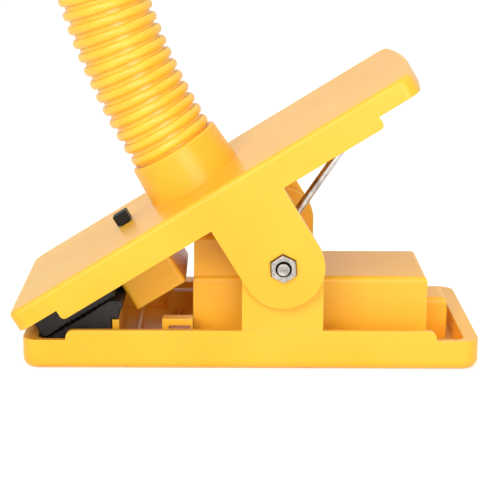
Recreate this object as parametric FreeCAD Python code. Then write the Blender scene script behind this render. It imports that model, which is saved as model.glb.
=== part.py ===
import FreeCAD, Part
import math
import os

# A spring clamp base with a ribbed flexible neck. All lengths are millimetres.
# Working frame: X runs from the jaw to the handles, Y across, Z up, with the
# hinge axis above the working origin. Everything is moved at the end so that
# the origin lies under the middle of the whole part, on the surface it stands on.
Vec = FreeCAD.Vector
ORIGIN = Vec(0, 0, 0)
X_AXIS = Vec(1, 0, 0)
Y_AXIS = Vec(0, 1, 0)
Z_AXIS = Vec(0, 0, 1)

# Hinge
pivot_height = 31.2
lever_angle = 31.7
bolt_radius = 2.0
bolt_hole_clearance = 0.06
nut_across_flats = 7.0
nut_thickness = 2.6
nut_recess_depth = 1.2
nut_recess_clearance = 0.25
nut_hole_flare = 0.35
bolt_end_stickout = 0.7
bolt_head_radius = 3.8
bolt_head_height = 2.1
bolt_head_round = 0.9
bolt_tip_chamfer = 0.35
bolt_cross_width = 1.0
bolt_cross_depth = 1.1

# Base tray
base_front = 75.8
base_behind_box = 14.0
base_rim_height = 8.9
base_floor = 2.4
base_wall = 2.2
base_end_wall = 4.3
base_corner_radius = 5.0
base_bottom_round = 3.0
skirt_top = 11.8
skirt_front = 63.0
skirt_rear_setback = 12.6
skirt_end_round = 2.2
base_ear_thickness = 3.0
base_ear_radius = 11.8
base_ear_side_gap = 0.4
base_ear_setback = 0.4

# Battery box and door
box_front = 26.2
box_width = 37.0
box_top = 24.4
box_wall = 1.4
box_edge_round = 1.6
box_wiring_room = 10.6
tower_length = 13.6
tower_front_inset = 0.2
tower_inset = 1.2
tower_top = 36.4
boss_length = 7.4
boss_width = 14.0
boss_top = 15.3
door_recess = 1.4
door_ledge = 1.5
door_clearance = 0.2
door_thickness = 1.0
door_screw_radius = 1.1
door_screw_head_radius = 2.1
door_screw_head_height = 0.8
door_screw_length = 8.0
door_groove_count = 5
door_groove_pitch = 2.2
door_groove_width = 0.9
door_groove_half_length = 8.0
door_groove_depth = 0.4
door_groove_inset = 4.0
cell_radius = 7.1
cell_length = 48.9
cell_button_radius = 2.6
cell_button_height = 1.1
cell_spacing = 16.0
cell_height = 10.9
cell_room_front = 4.2
cell_room_rear = 3.3
cell_edge_round = 0.6
cradle_length = 3.0
contact_thickness = 0.4
contact_size = 9.0
contact_spring_base = 3.6
contact_spring_tip = 2.2
seat_gap = 0.3
screw_play = 0.05
screw_seat_gap = 0.02
screw_cross_reach = 0.6
screw_cross_width = 0.22

# Small parts inside the tray
bracket_length = 9.0
bracket_width = 5.0
bracket_side = 21.0
bracket_top = 13.2
bracket_slot_height = 1.3
bracket_slot_drop = 3.3
bracket_slot_front = 1.9
bracket_slot_rear = 0.6
pad_post_front = 49.8
pad_post_thickness = 2.0
pad_post_top = 13.2
tray_rib_height = 2.0
tray_rib_thickness = 1.4
tray_rib_behind_pad = 4.0
tray_rib_before_box = 6.0

# Lever
lever_top = 29.6
lever_front = 75.2
lever_rear = 59.4
lever_rear_bow = 1.8
lever_width = 74.0
lever_wall = 2.2
lever_plate = 2.0
lever_skirt_level = 20.0
lever_lip_level = 23.4
lever_skirt_front = 62.2
lever_skirt_rear = 45.6
lever_skirt_round = 1.5
lever_corner_radius = 4.5
lever_edge_round = 1.6
lever_rib_thickness = 1.5
lever_rib_spacing = 17.0
lever_rib_level = 25.0
lever_rib_inner_end = 24.0
ear_radius = 12.0
ear_thickness = 3.0

# Collar that holds the neck
collar_place = 12.3
collar_height = 12.7
collar_base_radius = 14.9
collar_top_radius = 14.2
collar_floor = 2.0
collar_lip_round = 0.8
wire_hole_radius = 4.0

# Switch under the lever
housing_front = 45.6
housing_length = 17.2
housing_width = 38.0
housing_bottom = 8.0
housing_wall = 1.5
housing_edge_round = 1.4
housing_screw_radius = 1.1
housing_screw_head_radius = 2.0
housing_screw_head_height = 1.2
housing_screw_length = 6.0
housing_screw_spacing = 28.0
housing_post_radius = 2.6
knob_place = 37.2
knob_length = 4.6
knob_width = 4.8
knob_height = 3.7
knob_travel = 3.0
knob_clearance = 0.35
knob_edge_round = 0.35
knob_groove_count = 3
knob_groove_pitch = 1.2
knob_groove_width = 0.4
knob_groove_depth = 0.35
knob_groove_inset = 1.1
slider_stem = 2.2
slider_plate_thickness = 1.0
slider_plate_margin = 2.0
switch_body_length = 8.6
switch_body_width = 19.0
switch_body_height = 5.5
switch_pin_pitch = 2.5
switch_pin_thickness = 0.5
switch_pin_width = 0.8
switch_pin_clearance = 1.0
switch_leg_thickness = 1.5

# Jaw pads
pad_width = 54.0
lower_pad_level = 16.1
lower_pad_flat_top = 18.9
upper_pad_level = 16.6
pad_front = 71.0
pad_rear = 47.2
upper_pad_front = 72.0
upper_pad_rear = 46.0
pad_step = 1.2

# Torsion spring
wire_radius = 1.25
coil_radius = 4.0
coil_turns = 5
coil_pitch = 2.65
coil_start = 4.0
arm_angle = 23.9
leg_end_x = 10.5
sleeve_radius = 2.55
sleeve_end_gap = 0.1
arm_side_gap = 0.35
leg_seat_gap = 0.05

# Flexible neck
ring_count = 12
ring_pitch = 4.1
ring_radius = 13.3
ring_edge_radius = 12.75
ring_half_valley = 0.75
joint_radius = 11.9
joint_clearance = 0.3
joint_reach = 1.65
joint_shelf = 2.9
neck_bore_radius = 10.7
neck_curve_angle = 1.24
spigot_clearance = 0.05
spigot_end_gap = 0.3
spigot_radius = 12.0
end_socket_length = 14.0
end_socket_bore = 8.0
end_socket_depth = 10.0
end_socket_round = 1.2
end_socket_flare = 1.0

half_lever = lever_width / 2
half_box = box_width / 2
ear_inner = half_lever - ear_thickness
base_ear_outer = ear_inner - base_ear_side_gap
base_ear_inner = base_ear_outer - base_ear_thickness
half_base = base_ear_outer + base_ear_setback
cell_front = box_front - box_wall - cell_room_front
box_divider_x = cell_length - cell_front + cell_room_rear
box_rear = box_divider_x + box_wall + box_wiring_room
base_rear = box_rear + base_behind_box
skirt_rear = base_rear - skirt_rear_setback
bracket_front = box_front + bracket_length
arm_end_level = lever_top - lever_plate - wire_radius - arm_side_gap
collar_top = lever_top + collar_height
spigot_length = collar_height - collar_floor - spigot_end_gap
running_radius = bolt_radius + bolt_hole_clearance


def box(x0, x1, y0, y1, z0, z1):
    return Part.makeBox(x1 - x0, y1 - y0, z1 - z0, Vec(x0, y0, z0))


def cylinderY(radius, y0, y1, x=0.0, z=0.0):
    return Part.makeCylinder(radius, y1 - y0, Vec(x, y0, z), Y_AXIS)


def cylinderZ(radius, z0, z1, x=0.0, y=0.0):
    return Part.makeCylinder(radius, z1 - z0, Vec(x, y, z0), Z_AXIS)


def line(a, b):
    return Part.LineSegment(a, b).toShape()


def prism(points, depth):
    """Solid over a closed outline of points, pushed along depth."""
    wire = Part.makePolygon(points + [points[0]])
    return Part.Face(wire).extrude(depth)


def rounded_plan(x0, x1, half, radius, bow, z0, z1):
    """Upright solid over a rectangle with round corners and a bowed far end."""
    corner = radius * (1 - math.sqrt(0.5))
    edges = [
        line(Vec(x0, -half + radius, z0), Vec(x0, half - radius, z0)),
        Part.Arc(Vec(x0, half - radius, z0), Vec(x0 + corner, half - corner, z0),
                 Vec(x0 + radius, half, z0)).toShape(),
        line(Vec(x0 + radius, half, z0), Vec(x1 - radius, half, z0)),
        Part.Arc(Vec(x1 - radius, half, z0), Vec(x1 - corner, half - corner, z0),
                 Vec(x1, half - radius, z0)).toShape(),
        Part.Arc(Vec(x1, half - radius, z0), Vec(x1 + bow, 0, z0),
                 Vec(x1, -half + radius, z0)).toShape()
        if bow > 0 else line(Vec(x1, half - radius, z0), Vec(x1, -half + radius, z0)),
        Part.Arc(Vec(x1, -half + radius, z0), Vec(x1 - corner, -half + corner, z0),
                 Vec(x1 - radius, -half, z0)).toShape(),
        line(Vec(x1 - radius, -half, z0), Vec(x0 + radius, -half, z0)),
        Part.Arc(Vec(x0 + radius, -half, z0), Vec(x0 + corner, -half + corner, z0),
                 Vec(x0, -half + radius, z0)).toShape(),
    ]
    return Part.Face(Part.Wire(edges)).extrude(Vec(0, 0, z1 - z0))


def edges_at_height(solid, z):
    found = []
    for edge in solid.Edges:
        b = edge.BoundBox
        if abs(b.ZMin - z) < 1e-4 and abs(b.ZMax - z) < 1e-4:
            found.append(edge)
    return found


def upright_edges(solid):
    found = []
    for edge in solid.Edges:
        b = edge.BoundBox
        if b.XLength < 1e-4 and b.YLength < 1e-4 and b.ZLength > 1:
            found.append(edge)
    return found


def revolve(edges):
    """Solid of revolution about Z from a closed profile in the XZ plane."""
    return Part.Face(Part.Wire(edges)).revolve(ORIGIN, Z_AXIS, 360)


def on_lever(shape):
    """Carry a shape from the lever's own frame (hinge at zero, plate level) to its place."""
    shape.rotate(ORIGIN, Y_AXIS, -lever_angle)
    shape.translate(Vec(0, 0, pivot_height))
    return shape


def both_sides(shape):
    return [shape, shape.mirror(ORIGIN, Y_AXIS)]


def lug(radius, y0, y1, centre_z, far_z):
    """Flat lug, round about a cross axis at centre_z, with a stem up or down to far_z."""
    disc = cylinderY(radius, y0, y1, 0, centre_z)
    stem = box(-radius, radius, y0, y1, min(centre_z, far_z), max(centre_z, far_z))
    return disc.fuse(stem).removeSplitter()


def base_shell():
    outer = rounded_plan(-base_front, base_rear, half_base, base_corner_radius, 0,
                         0, base_rim_height)
    outer = outer.makeFillet(base_bottom_round, edges_at_height(outer, 0))
    inner = rounded_plan(-base_front + base_end_wall, base_rear - base_end_wall,
                         half_base - base_wall, base_corner_radius - base_wall, 0, base_floor,
                         base_rim_height + 1)
    shell = outer.cut(inner)

    skirt = box(-skirt_front, skirt_rear, half_base - base_wall, half_base,
                base_rim_height - base_wall, skirt_top)
    end_edges = []
    for edge in skirt.Edges:
        b = edge.BoundBox
        if b.YLength > base_wall / 2 and abs(b.ZMin - skirt_top) < 1e-4 and b.XLength < 1e-4:
            end_edges.append(edge)
    skirt = skirt.makeFillet(skirt_end_round, end_edges)
    shell = shell.multiFuse(both_sides(skirt))

    # hinge ears stand on the floor and round over about the hinge axis
    ear = lug(base_ear_radius, base_ear_inner, base_ear_outer, pivot_height, base_floor / 2)
    shell = shell.multiFuse(both_sides(ear))

    # battery box, its tower, and the boss for the door's screw
    case = box(-box_front, box_rear, -half_box, half_box, base_floor / 2, box_top)
    case = case.makeFillet(box_edge_round, edges_at_height(case, box_top))
    tower = box(-box_front + tower_front_inset, -box_front + tower_length,
                -half_box + tower_inset, half_box - tower_inset, box_top - box_edge_round - 1,
                tower_top)
    tower = tower.makeFillet(box_edge_round, edges_at_height(tower, tower_top))
    boss = box(box_rear - box_wall, box_rear + boss_length, -boss_width / 2, boss_width / 2,
               base_floor / 2, boss_top)
    boss = boss.makeFillet(box_edge_round, edges_at_height(boss, boss_top))
    shell = shell.multiFuse([case, tower, boss])

    hollow = box(-box_front + box_wall, box_divider_x, -half_box + box_wall,
                 half_box - box_wall, -1, box_top - box_wall)
    wiring = box(box_divider_x + box_wall, box_rear - box_wall, -half_box + box_wall,
                 half_box - box_wall, -1, box_top - box_wall)
    tower_hollow = box(-box_front + tower_front_inset + box_wall,
                       -box_front + tower_length - box_wall, -half_box + tower_inset + box_wall,
                       half_box - tower_inset - box_wall, box_top - 2 * box_wall,
                       tower_top - box_wall)
    recess = box(-box_front - door_ledge, box_rear + boss_length + door_ledge,
                 -half_box - door_ledge, half_box + door_ledge, -1, door_recess)
    shell = shell.cut(Part.makeCompound([hollow, wiring, tower_hollow, recess]))

    # ribs under the ceiling hold the cells down
    ribs = []
    for x in (-cell_front + cradle_length, -cell_front + cell_length - 2 * cradle_length):
        ribs.append(box(x, x + cradle_length, -half_box + box_wall / 2, half_box - box_wall / 2,
                        cell_height + cell_radius + seat_gap, box_top - box_wall / 2))
    # stop for the lower pad, cable bracket and low stiffening ribs on the tray floor
    ribs.append(box(-pad_post_front, -pad_post_front + pad_post_thickness, -pad_width / 2,
                    pad_width / 2, base_floor / 2, pad_post_top))
    bracket = box(-bracket_front, -box_front, -bracket_side - bracket_width, -bracket_side,
                  base_floor / 2, bracket_top)
    slot = box(-bracket_front + bracket_slot_front,
               -box_front - bracket_slot_rear,
               -bracket_side - bracket_width - 1, -bracket_side + 1,
               bracket_top - bracket_slot_drop,
               bracket_top - bracket_slot_drop + bracket_slot_height)
    ribs.extend(both_sides(bracket.cut(slot)))
    for x in (-pad_post_front + pad_post_thickness + tray_rib_behind_pad,
              -box_front - tray_rib_before_box):
        ribs.append(box(x, x + tray_rib_thickness, -half_base + base_wall / 2,
                        half_base - base_wall / 2, base_floor / 2, base_floor + tray_rib_height))
    shell = shell.multiFuse(ribs)

    holes = [cylinderY(running_radius, -half_lever, half_lever, 0, pivot_height),
             cylinderZ(door_screw_radius, 0, door_screw_length + door_recess,
                       box_rear + boss_length / 2)]
    return shell.cut(Part.makeCompound(holes)).removeSplitter()


def battery_door():
    x0 = -box_front - door_ledge + door_clearance
    x1 = box_rear + boss_length + door_ledge - door_clearance
    half = half_box + door_ledge - door_clearance
    top = door_recess - door_clearance
    plate = box(x0, x1, -half, half, top - door_thickness, top)
    cradle_top = cell_height - cell_radius - seat_gap
    parts = []
    for x in (-cell_front + cradle_length, -cell_front + cell_length - 2 * cradle_length):
        parts.append(box(x, x + cradle_length, -half_box + box_wall + seat_gap,
                         half_box - box_wall - seat_gap, top - door_thickness / 2, cradle_top))
    plate = plate.multiFuse(parts)
    # finger grooves and the countersunk place of the screw
    cuts = []
    for i in range(door_groove_count):
        x = x0 + door_groove_inset + door_groove_pitch * i
        cuts.append(box(x, x + door_groove_width, -door_groove_half_length,
                        door_groove_half_length, top - door_thickness - 1,
                        top - door_thickness + door_groove_depth))
    place = box_rear + boss_length / 2
    cuts.append(cylinderZ(door_screw_radius + door_clearance, -1, top + 1, place))
    cuts.append(cylinderZ(door_screw_head_radius + door_clearance, -1,
                          top - door_thickness + door_screw_head_height, place))
    return plate.cut(Part.makeCompound(cuts)).removeSplitter()


def screw(shank_radius, length, head_radius, head_height):
    """Screw with its head below zero, its shank along +Z, and a cross recess in the head."""
    head = cylinderZ(head_radius, -head_height, 0)
    shank = cylinderZ(shank_radius, -head_height / 2, length)
    body = head.fuse(shank)
    arm = head_radius * screw_cross_reach
    slot_width = head_radius * screw_cross_width
    depth = -head_height / 2
    cross = box(-arm, arm, -slot_width, slot_width, -head_height - 1, depth)
    cross = cross.fuse(box(-slot_width, slot_width, -arm, arm, -head_height - 1, depth))
    return body.cut(cross).removeSplitter()


def door_screw():
    body = screw(door_screw_radius - screw_play, door_screw_length, door_screw_head_radius,
                 door_screw_head_height)
    seat = door_recess - door_clearance - door_thickness + door_screw_head_height
    body.translate(Vec(box_rear + boss_length / 2, 0, seat - screw_seat_gap))
    return body


def battery_cells():
    cells = []
    for side in (-1, 1):
        can = Part.makeCylinder(cell_radius, cell_length, Vec(-cell_front, 0, 0), X_AXIS)
        can = can.makeFillet(cell_edge_round, can.Edges[0:1] + can.Edges[2:3])
        if side < 0:
            tip = Part.makeCylinder(cell_button_radius, cell_button_height + 1,
                                    Vec(-cell_front + cell_length - 1, 0, 0), X_AXIS)
        else:
            tip = Part.makeCylinder(cell_button_radius, cell_button_height + 1,
                                    Vec(-cell_front - cell_button_height, 0, 0), X_AXIS)
        cell = can.fuse(tip).removeSplitter()
        cell.translate(Vec(0, side * cell_spacing / 2, cell_height))
        cells.append(cell)
    return Part.makeCompound(cells)


def cell_contacts():
    """Contact plates seated on the end walls, two at each end of the cells."""
    plates = []
    front_wall = -box_front + box_wall
    for side in (-1, 1):
        for x, way in ((front_wall + contact_thickness, -1), (box_divider_x - contact_thickness, 1)):
            y = side * cell_spacing / 2
            low = min(x, x + way * contact_thickness)
            plate = box(low, low + contact_thickness, y - contact_size / 2, y + contact_size / 2,
                        cell_height - contact_size / 2, cell_height + contact_size / 2)
            plates.append(plate)
            end = -cell_front if way < 0 else -cell_front + cell_length
            has_button = (side < 0) == (way > 0)
            reach = abs(end - x) - seat_gap - (cell_button_height if has_button else 0)
            cone = Part.makeCone(contact_spring_base, contact_spring_tip, reach,
                                 Vec(x, y, cell_height), Vec(-way, 0, 0))
            plates[-1] = plate.fuse(cone).removeSplitter()
    return Part.makeCompound(plates)


def pad_line(level, x):
    """Height of a line parallel to the lever, level above the hinge, at x."""
    angle = math.radians(lever_angle)
    along = (x + level * math.sin(angle)) / math.cos(angle)
    return pivot_height + along * math.sin(angle) + level * math.cos(angle)


def lower_pad():
    y = -pad_width / 2
    floor = base_floor + seat_gap
    post = -pad_post_front - seat_gap
    shelf = pad_post_top + seat_gap
    overhang = -pad_rear + pad_step / 2
    slope = math.tan(math.radians(lever_angle))
    flat_start = -pad_rear - (pad_line(lower_pad_level, -pad_rear) - lower_pad_flat_top) / slope
    points = [
        Vec(-pad_front, y, floor),
        Vec(-pad_front, y, pad_line(lower_pad_level, -pad_front)),
        Vec(flat_start, y, lower_pad_flat_top),
        Vec(-pad_rear, y, lower_pad_flat_top),
        Vec(overhang, y, shelf + 3 * pad_step),
        Vec(-pad_rear - pad_step / 2, y, shelf + 2 * pad_step),
        Vec(-pad_rear - pad_step / 2, y, shelf),
        Vec(post, y, shelf),
        Vec(post, y, floor),
    ]
    return prism(points, Vec(0, pad_width, 0))


def upper_pad():
    """Flat pad on a stepped block inside the front of the lever, in the lever's frame."""
    top = lever_top - lever_plate - seat_gap
    pad = box(-upper_pad_front, -upper_pad_rear, -pad_width / 2, pad_width / 2,
              upper_pad_level, top)
    step = box(-upper_pad_rear - pad_step, -upper_pad_rear + 1, -pad_width, pad_width,
               upper_pad_level - 1, upper_pad_level + pad_step)
    pad = pad.cut(step)
    return on_lever(pad)


def lever_shell():
    outer = rounded_plan(-lever_front, lever_rear, half_lever, lever_corner_radius,
                         lever_rear_bow, lever_skirt_level, lever_top)
    outer = outer.makeFillet(lever_edge_round, edges_at_height(outer, lever_top))
    low = lever_skirt_level - 1
    cuts = [box(-lever_front - 1, -lever_skirt_front, -half_lever - 1, half_lever + 1, low,
                lever_lip_level),
            box(lever_skirt_rear, lever_rear + lever_rear_bow + 1, -half_lever - 1,
                half_lever + 1, low, lever_lip_level)]
    inside = rounded_plan(-lever_front + lever_wall, lever_rear - lever_wall,
                          half_lever - lever_wall, lever_corner_radius - lever_wall,
                          lever_rear_bow, low, lever_top - lever_plate)
    outer = outer.cut(Part.makeCompound(cuts))
    corners = [e for e in outer.Edges if e.BoundBox.YLength > lever_width / 2
               and e.BoundBox.ZLength < 1e-4 and abs(e.BoundBox.ZMin - lever_skirt_level) < 1e-4]
    shell = outer.makeFillet(lever_skirt_round, corners).cut(inside)

    ear = lug(ear_radius, ear_inner, half_lever, 0, lever_top - lever_plate)
    shell = shell.multiFuse(both_sides(ear))

    collar = Part.makeCone(collar_base_radius, collar_top_radius, collar_height,
                           Vec(-collar_place, 0, lever_top), Z_AXIS)
    collar = collar.fuse(cylinderZ(collar_base_radius, lever_top - lever_plate, lever_top,
                                   -collar_place))
    collar = collar.makeFillet(collar_lip_round, edges_at_height(collar, collar_top))
    shell = shell.fuse(collar)

    # ribs across the inside of the plate
    ribs = []
    for x in (lever_skirt_rear, lever_skirt_rear - lever_rib_spacing):
        ribs.append(box(x, x + lever_rib_thickness, -half_lever + lever_wall / 2,
                        -lever_rib_inner_end, lever_rib_level, lever_top - lever_plate / 2))
    for rib in list(ribs):
        ribs.append(rib.mirror(ORIGIN, Y_AXIS))
    shell = shell.multiFuse(ribs)

    socket = cylinderZ(spigot_radius + spigot_clearance, lever_top + collar_floor,
                       collar_top + 1, -collar_place)
    wire_hole = cylinderZ(wire_hole_radius, lever_top - lever_plate - 1, collar_top,
                          -collar_place)
    slot = box(-knob_place - slider_stem / 2 - knob_clearance,
               -knob_place + slider_stem / 2 + knob_clearance,
               -knob_width / 2 - knob_clearance, knob_width / 2 + knob_travel + knob_clearance,
               lever_top - lever_plate - 1, lever_top + 1)
    hinge_hole = cylinderY(running_radius, -half_lever - 1, half_lever + 1)
    recess = hexagon(nut_across_flats + 2 * nut_recess_clearance, -half_lever - 1,
                     -half_lever + nut_recess_depth)
    shell = shell.cut(Part.makeCompound([socket, wire_hole, slot, hinge_hole, recess]))
    return on_lever(shell.removeSplitter())


def hexagon(across_flats, y0, y1):
    """Hexagonal prism along Y about the hinge, with two corners up and down."""
    reach = across_flats / math.sqrt(3)
    points = []
    for i in range(6):
        a = math.radians(60 * i + 90 + lever_angle)
        points.append(Vec(reach * math.cos(a), y0, reach * math.sin(a)))
    return prism(points, Vec(0, y1 - y0, 0))


def pivot_nut():
    y1 = -half_lever + nut_recess_depth
    nut = hexagon(nut_across_flats, y1 - nut_thickness, y1)
    # the corners are turned down to a cone on the outer face
    cone = Part.makeCone(nut_across_flats / 2, nut_across_flats / 2 + nut_thickness * math.sqrt(3),
                         nut_thickness, Vec(0, y1 - nut_thickness, 0), Y_AXIS)
    nut = nut.common(cone)
    bore = bolt_radius + screw_seat_gap
    hole = cylinderY(bore, y1 - nut_thickness - 1, y1 + 1)
    flare = Part.makeCone(bore + nut_hole_flare, bore, nut_hole_flare,
                          Vec(0, y1 - nut_thickness, 0), Y_AXIS)
    return on_lever(nut.cut(hole).cut(flare))


def pivot_bolt():
    tip = -half_lever + nut_recess_depth - nut_thickness - bolt_end_stickout
    shank = cylinderY(bolt_radius, tip, half_lever + bolt_head_height / 2)
    ends = [e for e in shank.Edges if abs(e.BoundBox.YMax - tip) < 1e-4]
    shank = shank.makeChamfer(bolt_tip_chamfer, ends)
    head = cylinderY(bolt_head_radius, half_lever, half_lever + bolt_head_height)
    rims = [e for e in head.Edges
            if abs(e.BoundBox.YMin - half_lever - bolt_head_height) < 1e-4
            and e.BoundBox.XLength > 1]
    head = head.makeFillet(bolt_head_round, rims)
    bolt = shank.fuse(head)
    arm = bolt_head_radius * screw_cross_reach
    half = bolt_cross_width / 2
    far = half_lever + bolt_head_height + 1
    near = half_lever + bolt_head_height - bolt_cross_depth
    cross = box(-arm, arm, near, far, -half, half)
    cross = cross.fuse(box(-half, half, near, far, -arm, arm))
    return on_lever(bolt.cut(cross).removeSplitter())


def pivot_sleeve():
    end = base_ear_inner - sleeve_end_gap
    tube = cylinderY(sleeve_radius, -end, end).cut(cylinderY(running_radius, -end - 1, end + 1))
    tube.translate(Vec(0, 0, pivot_height))
    return tube


def swept_wire(edges):
    """Round wire along joined edges that lie end to end."""
    path = Part.Wire(edges)
    start = path.OrderedVertexes[0].Point
    tangent = path.OrderedEdges[0].tangentAt(path.OrderedEdges[0].FirstParameter)
    if path.OrderedEdges[0].Orientation == "Reversed":
        tangent = path.OrderedEdges[0].tangentAt(path.OrderedEdges[0].LastParameter)
    ring = Part.Wire(Part.makeCircle(wire_radius, start, tangent))
    pipe = Part.BRepOffsetAPI.MakePipeShell(path)
    pipe.add(ring)
    pipe.build()
    pipe.makeSolid()
    return pipe.shape()


def coil_point(turn):
    """Point on the coil after so many turns from straight up, winding toward -Y."""
    a = 2 * math.pi * turn
    y = -coil_start - coil_pitch * (turn - 0.5)
    return Vec(coil_radius * math.sin(a), y, coil_radius * math.cos(a))


def spring_coil():
    """Wound part of the spring, from its lowest point to beside the arm's turn."""
    quarter_edges = []
    for i in range(2, 4 * coil_turns + 3):
        a = coil_point(0.25 * i)
        m = coil_point(0.25 * i + 0.125)
        b = coil_point(0.25 * i + 0.25)
        quarter_edges.append(Part.Arc(a, m, b).toShape())
    return swept_wire(quarter_edges)


def leg_start(end):
    """Point where a straight leg to the given end leaves the underside of the coil."""
    reach = math.hypot(end.x, end.z)
    touch = math.atan2(end.z, end.x) - math.acos(coil_radius / reach)
    return Vec(coil_radius * math.cos(touch), end.y, coil_radius * math.sin(touch))


def box_leg():
    """Straight leg from the coil's underside back to its seat on the box."""
    end = Vec(leg_end_x, -coil_start, box_top + leg_seat_gap + wire_radius - pivot_height)
    start = leg_start(end)
    way = end.sub(start)
    leg = Part.makeCylinder(wire_radius, way.Length, start, way)
    return leg.fuse(Part.makeSphere(wire_radius, end))


def wound_spring():
    one = spring_coil().fuse(box_leg()).removeSplitter()
    one.translate(Vec(0, 0, pivot_height))
    return one


def spring_arm():
    """The turn beside the coil and the arm from it that lifts the handle."""
    y = coil_point(coil_turns + 0.75).y - 2 * wire_radius - arm_side_gap
    turn = math.radians(90 + arm_angle)
    start = Vec(coil_radius * math.cos(turn), y, coil_radius * math.sin(turn))
    way = Vec(math.cos(math.radians(arm_angle)), 0, math.sin(math.radians(arm_angle)))
    length = (arm_end_level - start.z) / way.z
    arm = Part.makeCylinder(wire_radius, length, start, way)
    ring = Part.makeTorus(coil_radius, wire_radius, Vec(0, y, 0), Y_AXIS)
    tip = Part.makeSphere(wire_radius, start + way * length)
    return on_lever(arm.fuse(ring).fuse(tip).removeSplitter())


def switch_housing():
    x0 = -housing_front
    x1 = x0 + housing_length
    half = housing_width / 2
    top = lever_top - lever_plate - screw_play
    outer = box(x0, x1, -half, half, housing_bottom, top)
    outer = outer.makeFillet(housing_edge_round, upright_edges(outer))
    inner = box(x0 + housing_wall, x1 - housing_wall, -half + housing_wall, half - housing_wall,
                housing_bottom + housing_wall, top + 1)
    body = outer.cut(inner)
    x = (x0 + x1) / 2
    cuts = []
    posts = []
    for side in (-1, 1):
        y = side * housing_screw_spacing / 2
        posts.append(cylinderZ(housing_post_radius, housing_bottom + housing_wall / 2, top, x, y))
        cuts.append(cylinderZ(housing_screw_radius + screw_play, housing_bottom - 1,
                              housing_bottom + housing_screw_length + 2, x, y))
        cuts.append(cylinderZ(housing_screw_head_radius + door_clearance, housing_bottom - 1,
                              housing_bottom + housing_screw_head_height, x, y))
    body = body.multiFuse(posts).cut(Part.makeCompound(cuts))
    return on_lever(body.removeSplitter())


def housing_screws():
    x = -housing_front + housing_length / 2
    screws = []
    for side in (-1, 1):
        one = screw(housing_screw_radius, housing_screw_length, housing_screw_head_radius,
                    housing_screw_head_height - door_clearance)
        one.translate(Vec(x, side * housing_screw_spacing / 2,
                          housing_bottom + housing_screw_head_height - screw_seat_gap))
        screws.append(one)
    return on_lever(Part.makeCompound(screws))


def slider_plate_top():
    return lever_top - lever_plate - seat_gap


def switch_knob():
    x = -knob_place
    x0 = x - knob_length / 2
    knob = box(x0, x0 + knob_length, -knob_width / 2, knob_width / 2, lever_top + seat_gap,
               lever_top + knob_height)
    knob = knob.makeFillet(knob_edge_round, edges_at_height(knob, lever_top + knob_height))
    grooves = []
    for i in range(knob_groove_count):
        y = -knob_width / 2 + knob_groove_inset + knob_groove_pitch * i
        grooves.append(box(x0 - 1, x0 + knob_length + 1, y, y + knob_groove_width,
                           lever_top + knob_height - knob_groove_depth,
                           lever_top + knob_height + 1))
    knob = knob.cut(Part.makeCompound(grooves))
    stem = box(x - slider_stem / 2, x + slider_stem / 2, -knob_width / 2, knob_width / 2,
               slider_plate_top() - slider_plate_thickness / 2, lever_top + 2 * seat_gap)
    plate = box(x - slider_stem / 2 - slider_plate_margin / 2,
                x + slider_stem / 2 + slider_plate_margin / 2,
                -knob_width / 2 - slider_plate_margin / 2,
                knob_width / 2 + slider_plate_margin / 2,
                slider_plate_top() - slider_plate_thickness, slider_plate_top())
    return on_lever(knob.fuse(stem).fuse(plate).removeSplitter())


def switch_body():
    x = -knob_place
    top = slider_plate_top() - slider_plate_thickness - seat_gap
    half = switch_body_width / 2
    body = box(x - switch_body_length / 2, x + switch_body_length / 2, -half, half,
               top - switch_body_height, top)
    pins = []
    for y in (-switch_pin_pitch, 0, switch_pin_pitch):
        pins.append(box(x - switch_pin_thickness / 2, x + switch_pin_thickness / 2,
                        y - switch_pin_width / 2, y + switch_pin_width / 2,
                        housing_bottom + housing_wall + switch_pin_clearance,
                        top - switch_body_height / 2))
    # legs that stand on the housing's floor
    legs = []
    for y in (-half, half - switch_leg_thickness):
        legs.append(box(x - switch_body_length / 2, x + switch_body_length / 2, y,
                        y + switch_leg_thickness, housing_bottom + housing_wall + seat_gap,
                        top - switch_body_height / 2))
    return on_lever(body.multiFuse(pins + legs).removeSplitter())


def ball_edge(radius, centre_z, z0, z1):
    """Arc of a ball about the neck's axis between two heights."""
    points = []
    for z in (z0, (z0 + z1) / 2, z1):
        points.append(Vec(math.sqrt(radius ** 2 - (z - centre_z) ** 2), 0, z))
    return Part.Arc(points[0], points[1], points[2]).toShape()


def rib_outline():
    """Outer edges of one rib, from its lower edge up to its upper edge."""
    low = ring_half_valley
    high = ring_pitch - ring_half_valley
    return Part.Arc(Vec(ring_edge_radius, 0, low), Vec(ring_radius, 0, (low + high) / 2),
                    Vec(ring_edge_radius, 0, high)).toShape()


def tongue_edges():
    """Edges from the rib's top corner over the ball tongue and down to the bore."""
    high = ring_pitch - ring_half_valley
    top = ring_pitch + joint_reach
    foot = Vec(math.sqrt(joint_radius ** 2 - ring_half_valley ** 2), 0, high)
    crown = Vec(math.sqrt(joint_radius ** 2 - joint_reach ** 2), 0, top)
    return [line(Vec(ring_edge_radius, 0, high), foot),
            ball_edge(joint_radius, ring_pitch, high, top),
            line(crown, Vec(neck_bore_radius, 0, top))]


def cup_edges():
    """Edges of the cup that takes the tongue below, from the bore to the rib's lower edge."""
    cup = joint_radius + joint_clearance
    low = ring_half_valley
    shelf_radius = math.sqrt(cup ** 2 - joint_shelf ** 2)
    mouth_radius = math.sqrt(cup ** 2 - low ** 2)
    return [line(Vec(neck_bore_radius, 0, joint_shelf), Vec(shelf_radius, 0, joint_shelf)),
            ball_edge(cup, 0, joint_shelf, low),
            line(Vec(mouth_radius, 0, low), Vec(ring_edge_radius, 0, low))]


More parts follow.
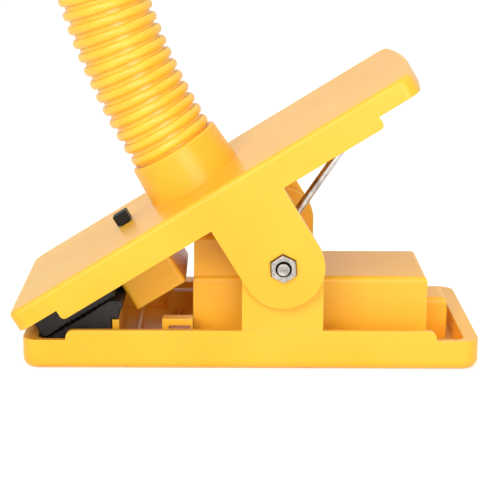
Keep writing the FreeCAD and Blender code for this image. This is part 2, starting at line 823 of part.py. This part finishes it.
def neck_ring():
    """One rib of the neck: cup below, rib outside, ball tongue above."""
    edges = [rib_outline()]
    edges += tongue_edges()
    edges.append(line(Vec(neck_bore_radius, 0, ring_pitch + joint_reach),
                      Vec(neck_bore_radius, 0, joint_shelf)))
    edges += cup_edges()
    return revolve(edges)


def neck_root():
    """First rib, fixed in the collar by its spigot."""
    low = ring_half_valley
    bottom = -spigot_length
    edges = [rib_outline()]
    edges += tongue_edges()
    edges += [line(Vec(neck_bore_radius, 0, ring_pitch + joint_reach),
                   Vec(neck_bore_radius, 0, bottom)),
              line(Vec(neck_bore_radius, 0, bottom), Vec(spigot_radius, 0, bottom)),
              line(Vec(spigot_radius, 0, bottom), Vec(spigot_radius, 0, low)),
              line(Vec(spigot_radius, 0, low), Vec(ring_edge_radius, 0, low))]
    return revolve(edges)


def end_socket():
    """Plain end piece with the socket that takes whatever the neck carries."""
    low = ring_half_valley
    top = low + end_socket_length
    floor = top - end_socket_depth
    corner = end_socket_round * (1 - math.sqrt(0.5))
    flare = low + end_socket_flare
    edges = [line(Vec(ring_edge_radius, 0, low), Vec(ring_radius, 0, flare)),
             line(Vec(ring_radius, 0, flare), Vec(ring_radius, 0, top - end_socket_round)),
             Part.Arc(Vec(ring_radius, 0, top - end_socket_round),
                      Vec(ring_radius - corner, 0, top - corner),
                      Vec(ring_radius - end_socket_round, 0, top)).toShape(),
             line(Vec(ring_radius - end_socket_round, 0, top), Vec(end_socket_bore, 0, top)),
             line(Vec(end_socket_bore, 0, top), Vec(end_socket_bore, 0, floor)),
             line(Vec(end_socket_bore, 0, floor), Vec(wire_hole_radius, 0, floor)),
             line(Vec(wire_hole_radius, 0, floor), Vec(wire_hole_radius, 0, joint_shelf)),
             line(Vec(wire_hole_radius, 0, joint_shelf), Vec(neck_bore_radius, 0, joint_shelf))]
    edges += cup_edges()
    return revolve(edges)


def neck_places():
    """Centre and lean of each joint of the neck, from the collar upward."""
    lean = -lever_angle
    angle = math.radians(lever_angle)
    centre = Vec(-collar_place * math.cos(angle) - collar_top * math.sin(angle), 0,
                 pivot_height - collar_place * math.sin(angle) + collar_top * math.cos(angle))
    places = [(centre, lean)]
    for i in range(ring_count + 1):
        way = Vec(math.sin(math.radians(lean)), 0, math.cos(math.radians(lean)))
        centre = centre + way * ring_pitch
        lean = lean + neck_curve_angle
        places.append((centre, lean))
    return places


def at_place(shape, place):
    centre, lean = place
    shape.rotate(ORIGIN, Y_AXIS, lean)
    shape.translate(centre)
    return shape


def build_all():
    places = neck_places()
    nodes = {
        "base_shell": base_shell(),
        "lower_pad": lower_pad(),
        "battery_cells": battery_cells(),
        "cell_contacts": cell_contacts(),
        "battery_door": battery_door(),
        "door_screw": door_screw(),
        "pivot_sleeve": pivot_sleeve(),
        "spring_coil": wound_spring(),
        "spring_arm": spring_arm(),
        "lever_shell": lever_shell(),
        "upper_pad": upper_pad(),
        "pivot_bolt": pivot_bolt(),
        "pivot_nut": pivot_nut(),
        "switch_housing": switch_housing(),
        "housing_screws": housing_screws(),
        "switch_body": switch_body(),
        "switch_knob": switch_knob(),
        "neck_root": at_place(neck_root(), places[0]),
    }
    for i in range(1, ring_count + 1):
        nodes["neck_ring_%02d" % i] = at_place(neck_ring(), places[i])
    nodes["neck_end_socket"] = at_place(end_socket(), places[ring_count + 1])
    return nodes, places


def main():
    os.makedirs("parts", exist_ok=True)
    nodes, places = build_all()
    left = nodes["lever_shell"].optimalBoundingBox().XMin
    right = nodes["base_shell"].optimalBoundingBox().XMax
    shift = Vec(-(left + right) / 2, 0, 0)
    for name, shape in nodes.items():
        shape.translate(shift)
        shape.exportStep("parts/%s.step" % name)
        b = shape.optimalBoundingBox()
        print("%-16s solids %d valid %s volume %.1f  x %.2f %.2f y %.2f %.2f z %.2f %.2f" % (
            name, len(shape.Solids), shape.isValid(), shape.Volume,
            b.XMin, b.XMax, b.YMin, b.YMax, b.ZMin, b.ZMax))
    print("shift %.4f" % shift.x)
    for i, (centre, lean) in enumerate(places):
        print("place %d  %.4f %.4f lean %.3f" % (i, centre.x + shift.x, centre.z, lean))


main()
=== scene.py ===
import math

import bmesh
import bpy
from mathutils import Matrix, Vector


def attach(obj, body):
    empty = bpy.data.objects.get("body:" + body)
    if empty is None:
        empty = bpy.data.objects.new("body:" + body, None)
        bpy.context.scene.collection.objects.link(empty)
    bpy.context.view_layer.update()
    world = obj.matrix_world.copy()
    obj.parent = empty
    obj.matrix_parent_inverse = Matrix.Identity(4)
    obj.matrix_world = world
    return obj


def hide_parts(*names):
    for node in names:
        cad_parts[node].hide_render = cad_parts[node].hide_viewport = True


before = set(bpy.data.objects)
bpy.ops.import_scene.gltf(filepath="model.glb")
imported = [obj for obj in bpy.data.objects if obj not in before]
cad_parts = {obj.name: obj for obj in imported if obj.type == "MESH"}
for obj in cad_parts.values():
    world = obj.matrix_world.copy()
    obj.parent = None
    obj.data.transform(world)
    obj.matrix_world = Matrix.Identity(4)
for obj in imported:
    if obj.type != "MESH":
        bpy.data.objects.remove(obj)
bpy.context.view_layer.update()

print("frame loaded:", len(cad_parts), "nodes")

# where the lever's own frame sits: hinge point in metres, and how far it leans back
hingePoint = (0.0106665, 0.0, 0.0312)
hingeX, hingeZ = hingePoint[0] * 1000, hingePoint[2] * 1000
leverLean = math.radians(31.7)


class Tap:
    # one output of a node: sums on it add Math nodes

    def __init__(self, paint, socket):
        self.paint = paint
        self.socket = socket

    def calc(self, operation, *others):
        return self.paint.node("ShaderNodeMath", {"operation": operation}, [self, *others])

    def flipped(self, operation, other):
        return self.paint.node("ShaderNodeMath", {"operation": operation}, [other, self])

    def __add__(self, other):
        return self.calc("ADD", other)

    def __radd__(self, other):
        return self.calc("ADD", other)

    def __sub__(self, other):
        return self.calc("SUBTRACT", other)

    def __rsub__(self, other):
        return self.flipped("SUBTRACT", other)

    def __mul__(self, other):
        return self.calc("MULTIPLY", other)

    def __rmul__(self, other):
        return self.calc("MULTIPLY", other)


class Paint:
    # the nodes of one material, or of the world, while it is being made

    def __init__(self, owner):
        self.owner = owner
        owner.use_nodes = True
        self.tree = owner.node_tree
        self.tree.nodes.clear()

    def node(self, kind, settings=None, values=None, output=0):
        made = self.tree.nodes.new(kind)
        for key, setting in (settings or {}).items():
            setattr(made, key, setting)
        given = dict(enumerate(values)) if isinstance(values, list) else (values or {})
        for key, value in given.items():
            if isinstance(value, Tap):
                self.tree.links.new(value.socket, made.inputs[key])
            else:
                made.inputs[key].default_value = value
        return Tap(self, made.outputs[output]) if made.outputs else made

    def spot(self, leaning=False):
        place = self.node("ShaderNodeTexCoord", output="Object")
        if not leaning:
            return place
        return self.node("ShaderNodeMapping", {"vector_type": "TEXTURE"},
                         {"Vector": place, "Location": hingePoint, "Rotation": (0.0, -leverLean, 0.0)})

    def stretched(self, place, scale):
        return self.node("ShaderNodeMapping", {}, {"Vector": place, "Scale": scale})

    def noise(self, place, scale, detail=2.0, roughness=0.5):
        return self.node("ShaderNodeTexNoise", {}, {"Vector": place, "Scale": scale, "Detail": detail,
                                                    "Roughness": roughness})

    def step(self, value, low, high):
        return self.node("ShaderNodeMapRange", {"interpolation_type": "SMOOTHSTEP"},
                         {"Value": value, "From Min": low, "From Max": high})

    def part(self, place, axis):
        return self.node("ShaderNodeSeparateXYZ", {}, [place], axis)

    def tint(self, factor, first, second):
        return self.node("ShaderNodeMix", {"data_type": "RGBA"}, {0: factor, 6: first, 7: second}, 2)

    def softEdges(self, radius, samples=6):
        return self.node("ShaderNodeBevel", {"samples": samples}, {"Radius": radius})

    def edgeMask(self, rounded, low, high):
        flat = self.node("ShaderNodeNewGeometry", output="Normal")
        facing = self.node("ShaderNodeVectorMath", {"operation": "DOT_PRODUCT"}, [rounded, flat], "Value")
        return self.step(1 - facing, low, high)

    def raised(self, height, distance, strength=1.0, normal=None):
        values = {"Height": height, "Distance": distance, "Strength": strength}
        if normal is not None:
            values["Normal"] = normal
        return self.node("ShaderNodeBump", {}, values)

    def done(self, shader, ending="ShaderNodeOutputMaterial"):
        self.node(ending, {}, {"Surface": shader})
        return self.owner


print("finishes")

shellLook = {
    "main": (1.0, 0.525, 0.037, 1.0),
    "deep": (0.98, 0.485, 0.027, 1.0),
    "edgeHighlightColour": (1.0, 0.72, 0.14, 1.0),
    "speck": (0.45, 0.24, 0.05, 1.0),
    "flowSize": 26.0,        # flow marks, per metre
    "cloudSize": 234.0,
    "speckSize": 900.0,
    "scratchSize": 2100.0,
    "scratchStretch": (0.12, 1.0, 1.0),
    "grainSize": 2600.0,     # spark finish of the mould
    "grainDepth": 0.000012,
    "waveDepth": 0.0012,     # slow sink of the flat walls
    "roughness": 0.34,
    "scuffs": 0.14,
    "edgeRound": 0.0006,
    "paintedEdgeHighlight": 0.5,
    "speckShare": 0.35,
    "edgeLimits": (0.015, 0.22),
    "flowLimits": (0.36, 0.66),
    "speckLimits": (0.83, 0.86),
    "scratchLimits": (0.68, 0.74),
    "scratchPatches": (0.45, 0.62),
}


def mouldedYellow(name, look, leaning):
    paint = Paint(bpy.data.materials.new(name))
    spot = paint.spot(leaning)
    flow = paint.noise(spot, look["flowSize"], 2.0, 0.45)
    cloud = paint.noise(spot, look["cloudSize"], 3.0, 0.6)
    rounded = paint.softEdges(look["edgeRound"])
    edge = paint.edgeMask(rounded, *look["edgeLimits"])
    colour = paint.tint(paint.step(flow, *look["flowLimits"]), look["deep"], look["main"])
    # painted highlight: along the edges the bevel normal finds, the colour is lightened towards the pale
    # edge colour
    colour = paint.tint(edge * look["paintedEdgeHighlight"], colour, look["edgeHighlightColour"])
    speck = paint.step(paint.noise(spot, look["speckSize"], 0.0), *look["speckLimits"])
    colour = paint.tint(speck * look["speckShare"], colour, look["speck"])
    # fine handling scratches run mostly along the piece
    hair = paint.noise(paint.stretched(spot, look["scratchStretch"]), look["scratchSize"], 1.0, 0.3)
    scratch = paint.step(hair, *look["scratchLimits"]) * paint.step(cloud, *look["scratchPatches"])
    rough = look["roughness"] + (cloud - 0.5) * 0.12 + scratch * look["scuffs"] - edge * 0.05
    grain = paint.noise(spot, look["grainSize"], 2.0, 0.55)
    normal = paint.raised(flow, look["waveDepth"], 0.35, rounded)
    normal = paint.raised(grain, look["grainDepth"], 0.6, normal)
    shader = paint.node("ShaderNodeBsdfPrincipled", {}, {
        "Base Color": colour, "Roughness": rough, "Normal": normal, "IOR": 1.47,
        "Specular IOR Level": 0.36,
        "Subsurface Weight": 0.28, "Subsurface Radius": (1.0, 0.5, 0.05),
        "Subsurface Scale": 0.004, "Coat Weight": 0.04, "Coat Roughness": 0.2})
    return paint.done(shader)


neckLook = {
    "main": (1.0, 0.585, 0.045, 1.0),
    "deep": (0.99, 0.52, 0.030, 1.0),
    "cloudSize": 120.0,
    "grainSize": 1500.0,
    "grainDepth": 0.000010,
    "edgeRound": 0.0003,
    "deepLimits": (0.3, 0.7),
    "roughness": 0.33,
}


def neckPlastic(name, look):
    paint = Paint(bpy.data.materials.new(name))
    spot = paint.spot()
    cloud = paint.noise(spot, look["cloudSize"], 3.0, 0.55)
    rounded = paint.softEdges(look["edgeRound"], 4)
    colour = paint.tint(paint.step(cloud, *look["deepLimits"]), look["deep"], look["main"])
    grain = paint.noise(spot, look["grainSize"], 2.0, 0.5)
    rough = look["roughness"] + (cloud - 0.5) * 0.14
    shader = paint.node("ShaderNodeBsdfPrincipled", {}, {
        "Base Color": colour, "Roughness": rough, "IOR": 1.48,
        "Normal": paint.raised(grain, look["grainDepth"], 0.5, rounded),
        "Subsurface Weight": 0.16, "Subsurface Radius": (1.0, 0.42, 0.07),
        "Subsurface Scale": 0.002, "Coat Weight": 0.08, "Coat Roughness": 0.2})
    return paint.done(shader)


rubberLook = {
    "main": (0.011, 0.010, 0.010, 1.0),
    "dust": (0.036, 0.034, 0.032, 1.0),
    "roughness": 0.56,
    "cloudSize": 160.0,
    "grainSize": 3200.0,
    "grainDepth": 0.00003,
    "dustPatches": (0.48, 0.72),
    "dustGrains": (0.62, 0.75),
}


def blackRubber(name, look):
    paint = Paint(bpy.data.materials.new(name))
    spot = paint.spot()
    cloud = paint.noise(spot, look["cloudSize"], 4.0, 0.6)
    grain = paint.noise(spot, look["grainSize"], 3.0, 0.6)
    dust = paint.step(cloud, *look["dustPatches"]) * 0.5 + paint.step(grain, *look["dustGrains"]) * 0.25
    rough = look["roughness"] + (cloud - 0.5) * 0.25
    shader = paint.node("ShaderNodeBsdfPrincipled", {}, {
        "Base Color": paint.tint(dust, look["main"], look["dust"]), "Roughness": rough,
        "Normal": paint.raised(grain, look["grainDepth"], 0.6), "IOR": 1.5,
        "Specular IOR Level": 0.4})
    return paint.done(shader)


knobLook = {
    "main": (0.008, 0.007, 0.006, 1.0),
    "worn": (0.030, 0.028, 0.027, 1.0),
    "cloudSize": 420.0,
    "grainSize": 2800.0,
    "grainDepth": 0.000016,
    "edgeRound": 0.00022,
    "edgeLimits": (0.02, 0.3),
    "wearPatches": (0.6, 0.8),
    "roughness": 0.42,
}


def knobPlastic(name, look):
    paint = Paint(bpy.data.materials.new(name))
    spot = paint.spot(True)
    grain = paint.noise(spot, look["grainSize"], 2.0, 0.5)
    cloud = paint.noise(spot, look["cloudSize"], 3.0, 0.6)
    rounded = paint.softEdges(look["edgeRound"], 6)
    edge = paint.edgeMask(rounded, *look["edgeLimits"])
    rough = look["roughness"] + (cloud - 0.5) * 0.2 - edge * 0.08
    wear = edge * 0.7 + paint.step(cloud, *look["wearPatches"]) * 0.2
    shader = paint.node("ShaderNodeBsdfPrincipled", {}, {
        "Base Color": paint.tint(wear, look["main"], look["worn"]), "Roughness": rough, "IOR": 1.5,
        "Normal": paint.raised(grain, look["grainDepth"], 0.6, rounded),
        "Specular IOR Level": 0.22})
    return paint.done(shader)


steelLook = {
    "main": (0.54, 0.51, 0.48, 1.0),
    "shade": (0.32, 0.29, 0.26, 1.0),
    "paintedCountersinkShade": (0.018, 0.014, 0.010, 1.0),
    "paintedShadeRing": (0.00168, 0.00186, 0.00222, 0.00240),   # radii: starts, full, fades, ends
    "paintedShadeStart": (-0.030, -0.034),   # along Y, only the nut's side gets the painted shade
    "roughness": 0.20,
    "shadeLimits": (0.35, 0.7),
    "cloudSize": 900.0,
    "turnedSize": 26000.0,
    "turnedDepth": 0.000010,
    "edgeRound": 0.00018,
    "threadPitch": 0.0007,
    "threadDepth": 0.00022,
    "threadStart": (-0.0358, -0.0361),
}


def platedSteel(name, look, thread):
    # turned marks run round the bolt's axis, and its bare end carries a thread
    paint = Paint(bpy.data.materials.new(name))
    spot = paint.spot(True)
    cloud = paint.noise(spot, look["cloudSize"], 3.0, 0.6)
    x = paint.part(spot, "X")
    y = paint.part(spot, "Y")
    z = paint.part(spot, "Z")
    reach = (x * x + z * z).calc("SQRT")
    turned = paint.node("ShaderNodeTexNoise", {"noise_dimensions": "1D"},
                        {"W": reach, "Scale": look["turnedSize"], "Detail": 2.0})
    rounded = paint.softEdges(look["edgeRound"], 6)
    normal = paint.raised(turned, look["turnedDepth"], 0.5, rounded)
    if thread:
        turn = x.calc("ARCTAN2", z) * (1 / (2 * math.pi))
        crest = ((y * (1 / look["threadPitch"]) + turn) * (2 * math.pi)).calc("SINE")
        bare = paint.step(y, *look["threadStart"])
        normal = paint.raised(crest * bare, look["threadDepth"], 0.9, normal)
    # painted shade: a near-black ring round the hole, where the countersink lies in shade, on the nut's
    # side only; the same ring also raises roughness
    inner, full, fading, outer = look["paintedShadeRing"]
    ring = paint.step(reach, inner, full) * paint.step(reach, outer, fading)
    paintedCountersinkShade = ring * paint.step(y, *look["paintedShadeStart"])
    rough = look["roughness"] + (cloud - 0.5) * 0.22 + turned * 0.08 + paintedCountersinkShade * 0.4
    colour = paint.tint(paint.step(cloud, *look["shadeLimits"]), look["shade"], look["main"])
    colour = paint.tint(paintedCountersinkShade, colour, look["paintedCountersinkShade"])
    shader = paint.node("ShaderNodeBsdfPrincipled", {}, {
        "Base Color": colour, "Metallic": 1.0, "Roughness": rough, "Normal": normal})
    return paint.done(shader)


springLook = {
    "main": (0.58, 0.56, 0.53, 1.0),
    "shade": (0.30, 0.28, 0.26, 1.0),
    "shadeLimits": (0.3, 0.65),
    "cloudSize": 260.0,
    "drawnSize": 5200.0,
    "drawnStretch": (0.05, 1.0, 1.0),
    "drawnDepth": 0.00001,
    "roughness": 0.24,
}


def springWire(name, look, leaning):
    # faint draw lines along the wire, and a duller film in patches
    paint = Paint(bpy.data.materials.new(name))
    spot = paint.spot(leaning)
    cloud = paint.noise(spot, look["cloudSize"], 3.0, 0.6)
    drawn = paint.noise(paint.stretched(spot, look["drawnStretch"]), look["drawnSize"], 2.0, 0.5)
    rough = look["roughness"] + (cloud - 0.5) * 0.3 + drawn * 0.08
    shade = paint.step(cloud, *look["shadeLimits"])
    shader = paint.node("ShaderNodeBsdfPrincipled", {}, {
        "Base Color": paint.tint(shade, look["shade"], look["main"]),
        "Metallic": 1.0, "Roughness": rough, "Normal": paint.raised(drawn, look["drawnDepth"], 0.5)})
    return paint.done(shader)


cellLook = {
    "wrap": (0.035, 0.045, 0.055, 1.0),
    "band": (0.42, 0.30, 0.10, 1.0),
    "metal": (0.62, 0.60, 0.56, 1.0),
    "ends": (-0.0095, 0.0385),   # where the wrap ends along X
    "endFade": 0.0004,
    "bandStart": (0.0270, 0.0274),
    "cloudSize": 300.0,
    "cloudDepth": 0.00004,
    "roughness": 0.26,
}


def cellWrap(name, look):
    paint = Paint(bpy.data.materials.new(name))
    spot = paint.spot()
    x = paint.part(spot, "X")
    cloud = paint.noise(spot, look["cloudSize"], 3.0, 0.6)
    front, rear = look["ends"]
    fade = look["endFade"]
    bare = paint.step(x, front + fade, front) + paint.step(x, rear - fade, rear)
    colour = paint.tint(paint.step(x, *look["bandStart"]), look["wrap"], look["band"])
    colour = paint.tint(bare, colour, look["metal"])
    rough = look["roughness"] + cloud * 0.14 + bare * 0.08
    shader = paint.node("ShaderNodeBsdfPrincipled", {}, {
        "Base Color": colour, "Metallic": bare, "Roughness": rough,
        "Normal": paint.raised(cloud, look["cloudDepth"], 0.4)})
    return paint.done(shader)


paleLook = {
    "main": (0.62, 0.60, 0.55, 1.0),
    "shade": (0.50, 0.47, 0.41, 1.0),
    "cloudSize": 220.0,
    "grainSize": 2400.0,
    "grainDepth": 0.000015,
    "edgeRound": 0.0002,
    "roughness": 0.42,
}


def palePlastic(name, look):
    paint = Paint(bpy.data.materials.new(name))
    spot = paint.spot()
    cloud = paint.noise(spot, look["cloudSize"], 3.0, 0.6)
    grain = paint.noise(spot, look["grainSize"], 2.0, 0.5)
    rounded = paint.softEdges(look["edgeRound"], 4)
    shader = paint.node("ShaderNodeBsdfPrincipled", {}, {
        "Base Color": paint.tint(cloud, look["shade"], look["main"]),
        "Roughness": look["roughness"] + (cloud - 0.5) * 0.2,
        "Normal": paint.raised(grain, look["grainDepth"], 0.5, rounded)})
    return paint.done(shader)


def dress(material, *names):
    for name in names:
        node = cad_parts[name]
        if not node.material_slots:
            node.data.materials.append(material)
        for place in node.material_slots:
            place.link = "OBJECT"
            place.material = material


baseYellow = mouldedYellow("baseYellow", shellLook, False)
leverYellow = mouldedYellow("leverYellow", shellLook, True)
ribYellow = neckPlastic("ribYellow", neckLook)
padBlack = blackRubber("padBlack", rubberLook)
ringNames = ["neck_ring_%02d" % i for i in range(1, 13)]

dress(baseYellow, "base_shell", "battery_door")
dress(leverYellow, "lever_shell", "switch_housing")
dress(ribYellow, "neck_root", "neck_end_socket", *ringNames)
dress(knobPlastic("knobBlack", knobLook), "switch_knob")
dress(platedSteel("nutSteel", steelLook, False), "pivot_nut")
dress(platedSteel("boltSteel", steelLook, True), "pivot_bolt")
dress(platedSteel("screwSteel", steelLook, False), "door_screw", "housing_screws", "cell_contacts")
dress(springWire("coilSteel", springLook, False), "spring_coil")
dress(springWire("armSteel", springLook, True), "spring_arm")
dress(cellWrap("cellSkin", cellLook), "battery_cells")
dress(palePlastic("paleNylon", paleLook), "pivot_sleeve", "switch_body")


print("jaw pads")


def placed(name, mesh, material):
    # turns a finished bmesh into an object in the scene
    data = bpy.data.meshes.new(name)
    mesh.to_mesh(data)
    mesh.free()
    data.materials.append(material)
    made = bpy.data.objects.new(name, data)
    bpy.context.scene.collection.objects.link(made)
    return made


def fillet(points, radii, steps=4, sideShare=0.45):
    # closed outline with each corner turned into an arc of its own radius,
    # which takes no more than sideShare of the side before or after it
    made = []
    count = len(points)
    for i, point in enumerate(points):
        here = Vector(point)
        before = Vector(points[i - 1]) - here
        after = Vector(points[(i + 1) % count]) - here
        half = before.angle(after) / 2
        cut = min(radii[i] / math.tan(half), before.length * sideShare, after.length * sideShare)
        start = here + before.normalized() * cut
        end = here + after.normalized() * cut
        for step in range(steps + 1):
            t = step / steps
            made.append(start * (1 - t) ** 2 + here * 2 * t * (1 - t) + end * t ** 2)
    return made


def shrunk(outline, inset):
    # the outline moved inward by inset, measured square to its own edges
    count = len(outline)
    area = sum(outline[i - 1].cross(outline[i]) for i in range(count))
    side = 1 if area > 0 else -1
    made = []
    for i, point in enumerate(outline):
        along = outline[(i + 1) % count] - outline[i - 1]
        inward = Vector((-along.y, along.x)).normalized() * side
        made.append(point + inward * inset)
    return made


def padMesh(name, look, outline, carry):
    # outline swept across, with rounded ends; carry turns outline points into places
    halfWidth, endRound, steps = look["halfWidth"], look["endRound"], look["endSteps"]
    near = []
    for step in range(steps, -1, -1):
        turn = math.pi / 2 * step / steps
        near.append((-halfWidth + endRound * (1 - math.sin(turn)), endRound * (1 - math.cos(turn))))
    stations = near + [(-y, inset) for y, inset in reversed(near)]
    mesh = bmesh.new()
    rows = []
    for y, inset in stations:
        rows.append([mesh.verts.new(carry(p.x, y, p.y)) for p in shrunk(outline, inset)])
    count = len(outline)
    for low, high in zip(rows, rows[1:]):
        for i in range(count):
            mesh.faces.new((low[i - 1], low[i], high[i], high[i - 1]))
    mesh.faces.new(rows[0])
    mesh.faces.new(list(reversed(rows[-1])))
    bmesh.ops.recalc_face_normals(mesh, faces=mesh.faces)
    for face in mesh.faces:
        face.smooth = len(face.verts) == 4
    bmesh.ops.triangulate(mesh, faces=[f for f in mesh.faces if len(f.verts) > 4])
    for edge in mesh.edges:
        if len(edge.link_faces) == 2 and edge.calc_face_angle(0.0) > look["sharpAngle"]:
            edge.smooth = False
    return placed(name, mesh, padBlack)


def padLevel(level, x):
    # at x from the hinge, how high a line parallel to the lever is that passes level above the hinge
    along = (x + level * math.sin(leverLean)) / math.cos(leverLean)
    return hingeZ + along * math.sin(leverLean) + level * math.cos(leverLean)


grooveLook = {"pitch": 1.9, "depth": 0.2, "wall": 0.18, "floor": 0.34, "round": 0.12}


def ridged(start, end, margin, look):
    # points of a straight run with shallow grooves cut across it
    first = Vector(start)
    run = Vector(end) - first
    way = run.normalized()
    drop = Vector((way.y, -way.x)) * look["depth"]
    wall, floor = look["wall"], look["floor"]
    count = int((run.length - 2 * margin) / look["pitch"])
    points = []
    for i in range(count):
        edge = first + way * (margin + look["pitch"] * i)
        points += [edge, edge + way * wall + drop, edge + way * (wall + floor) + drop,
                   edge + way * (2 * wall + floor)]
    return [tuple(p) for p in points]


lowerPadLook = {
    "front": -71.0, "rear": -47.2, "floor": 2.7, "post": -50.1, "shelf": 13.5,
    "notch": 1.2, "level": 16.1, "flatTop": 18.9, "grooveMargin": 1.6,
    "frontRounds": [0.5, 1.1], "rearRounds": [1.0, 0.5, 0.4, 0.4, 0.5, 0.4, 0.5],
    "halfWidth": 26.9, "endRound": 0.25, "endSteps": 4, "sharpAngle": math.radians(38),
}


def lowerPad(look):
    front, rear, shelf, notch = look["front"], look["rear"], look["shelf"], look["notch"]
    topFront = (front, padLevel(look["level"], front))
    flatTop = look["flatTop"]
    flatStart = (rear - (padLevel(look["level"], rear) - flatTop) / math.tan(leverLean), flatTop)
    grooves = ridged(topFront, flatStart, look["grooveMargin"], grooveLook)
    points = [(front, look["floor"]), topFront] + grooves + [
        flatStart, (rear, flatTop), (rear + notch / 2, shelf + 3 * notch),
        (rear - notch / 2, shelf + 2 * notch), (rear - notch / 2, shelf), (look["post"], shelf),
        (look["post"], look["floor"])]
    radii = look["frontRounds"] + [grooveLook["round"]] * len(grooves) + look["rearRounds"]
    outline = fillet(points, radii)

    def carry(x, y, z):
        return Vector((x + hingeX, y, z)) * 0.001

    pad = padMesh("lowerJawPad", look, outline, carry)
    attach(pad, "base")
    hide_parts("lower_pad")


upperPadLook = {
    "front": -72.0, "rear": -46.0, "low": 16.6, "top": 27.3, "step": 1.2, "grooveMargin": 1.4,
    "rounds": [1.1, 0.6, 0.5, 0.3, 0.3, 0.4],
    "halfWidth": 26.9, "endRound": 0.25, "endSteps": 4, "sharpAngle": math.radians(38),
}


def upperPad(look):
    front, rear, low, top, step = look["front"], look["rear"], look["low"], look["top"], look["step"]
    grooves = ridged((rear - step, low), (front, low), look["grooveMargin"], grooveLook)
    points = [(front, low), (front, top), (rear, top), (rear, low + step), (rear - step, low + step),
              (rear - step, low)] + grooves
    radii = look["rounds"] + [grooveLook["round"]] * len(grooves)
    outline = fillet(points, radii)
    cosine, sine = math.cos(leverLean), math.sin(leverLean)

    def carry(u, y, v):
        return Vector((u * cosine - v * sine + hingeX, y, hingeZ + u * sine + v * cosine)) * 0.001

    pad = padMesh("upperJawPad", look, outline, carry)
    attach(pad, "lever")
    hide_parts("upper_pad")


lowerPad(lowerPadLook)
upperPad(upperPadLook)


print("studio")

studioLook = {
    "floorHalf": 3.0, "floorDrop": 0.00005,
    "floorColour": (0.80, 0.80, 0.80, 1.0),
    "floorLift": 0.55,
    "worldLevel": 0.55,
    "worldTint": (1.0, 0.99, 0.93, 1.0),
    "keyPower": 7.0, "keyPlace": (-0.45, -0.95, 0.62), "keySize": 0.7,
    "fillPower": 6.0, "fillPlace": (0.30, -1.10, 0.17), "fillSize": 0.6,
    "topPower": 2.0, "topPlace": (0.10, 0.25, 1.05), "topSize": 0.9,
    "aim": (0.0, 0.0, 0.05),
    "white": (1.0, 1.0, 1.0, 1.0),
}


def seenDirectly(paint):
    # 1 for rays from the camera, and for what metal or clear pieces mirror
    camera = paint.node("ShaderNodeLightPath", output="Is Camera Ray")
    glossy = paint.node("ShaderNodeLightPath", output="Is Glossy Ray")
    through = paint.node("ShaderNodeLightPath", output="Is Transmission Ray")
    return (camera + glossy + through).calc("MINIMUM", 1.0)


def makeFloor(look):
    paint = Paint(bpy.data.materials.new("paleFloor"))
    plain = paint.node("ShaderNodeBsdfDiffuse", {}, {"Color": look["floorColour"]})
    glow = paint.node("ShaderNodeEmission", {}, {"Color": look["white"], "Strength": look["floorLift"]})
    lifted = paint.node("ShaderNodeAddShader", {}, [plain, glow])
    shader = paint.node("ShaderNodeMixShader", {}, {0: seenDirectly(paint), 1: plain, 2: lifted})
    half = look["floorHalf"]
    mesh = bmesh.new()
    corners = ((-half, -half), (half, -half), (half, half), (-half, half))
    mesh.faces.new([mesh.verts.new((x, y, -look["floorDrop"])) for x, y in corners])
    floor = placed("studioFloor", mesh, paint.done(shader))


def makeWorld(look):
    paint = Paint(bpy.data.worlds.new("paleStudio"))
    dim = paint.node("ShaderNodeBackground", {},
                     {"Color": look["worldTint"], "Strength": look["worldLevel"]})
    white = paint.node("ShaderNodeBackground", {}, {"Color": look["white"], "Strength": 1.0})
    mixed = paint.node("ShaderNodeMixShader", {}, {0: seenDirectly(paint), 1: dim, 2: white})
    bpy.context.scene.world = paint.done(mixed, "ShaderNodeOutputWorld")


def softLight(word, look):
    lamp = bpy.data.lights.new(word + "Light", "AREA")
    lamp.energy = look[word + "Power"]
    lamp.size = look[word + "Size"]
    made = bpy.data.objects.new(lamp.name, lamp)
    bpy.context.scene.collection.objects.link(made)
    made.location = look[word + "Place"]
    way = Vector(look["aim"]) - made.location
    made.rotation_mode = "QUATERNION"
    made.rotation_quaternion = way.to_track_quat("-Z", "Y")


makeFloor(studioLook)
makeWorld(studioLook)
for word in ("key", "fill", "top"):
    softLight(word, studioLook)


print("camera")

cameraLook = {
    "place": (-0.006120, -0.524010, 0.145153),
    "yaw": 0.01171, "down": 0.21643, "roll": 0.00675,
    "focal": 1748.08, "frameSize": 490,   # both in pixels
    "sensor": 36.0, "clip": (0.05, 20.0),
}


def makeCamera(look):
    data = bpy.data.cameras.new("photoCamera")
    data.sensor_width = look["sensor"]
    data.lens = look["focal"] / look["frameSize"] * look["sensor"]
    data.clip_start, data.clip_end = look["clip"]
    camera = bpy.data.objects.new("photoCamera", data)
    bpy.context.scene.collection.objects.link(camera)
    yaw, down, roll = look["yaw"], look["down"], look["roll"]
    ahead = math.cos(down)
    forward = Vector((math.sin(yaw) * ahead, math.cos(yaw) * ahead, -math.sin(down)))
    level = Vector((math.cos(yaw), -math.sin(yaw), 0.0))
    upright = level.cross(forward)
    right = level * math.cos(roll) + upright * math.sin(roll)
    up = right.cross(forward)
    turn = Matrix((right, up, -forward)).transposed()
    camera.matrix_world = Matrix.Translation(look["place"]) @ turn.to_4x4()
    bpy.context.scene.camera = camera


makeCamera(cameraLook)
bpy.context.scene.view_settings.view_transform = "Standard"

bpy.context.view_layer.update()
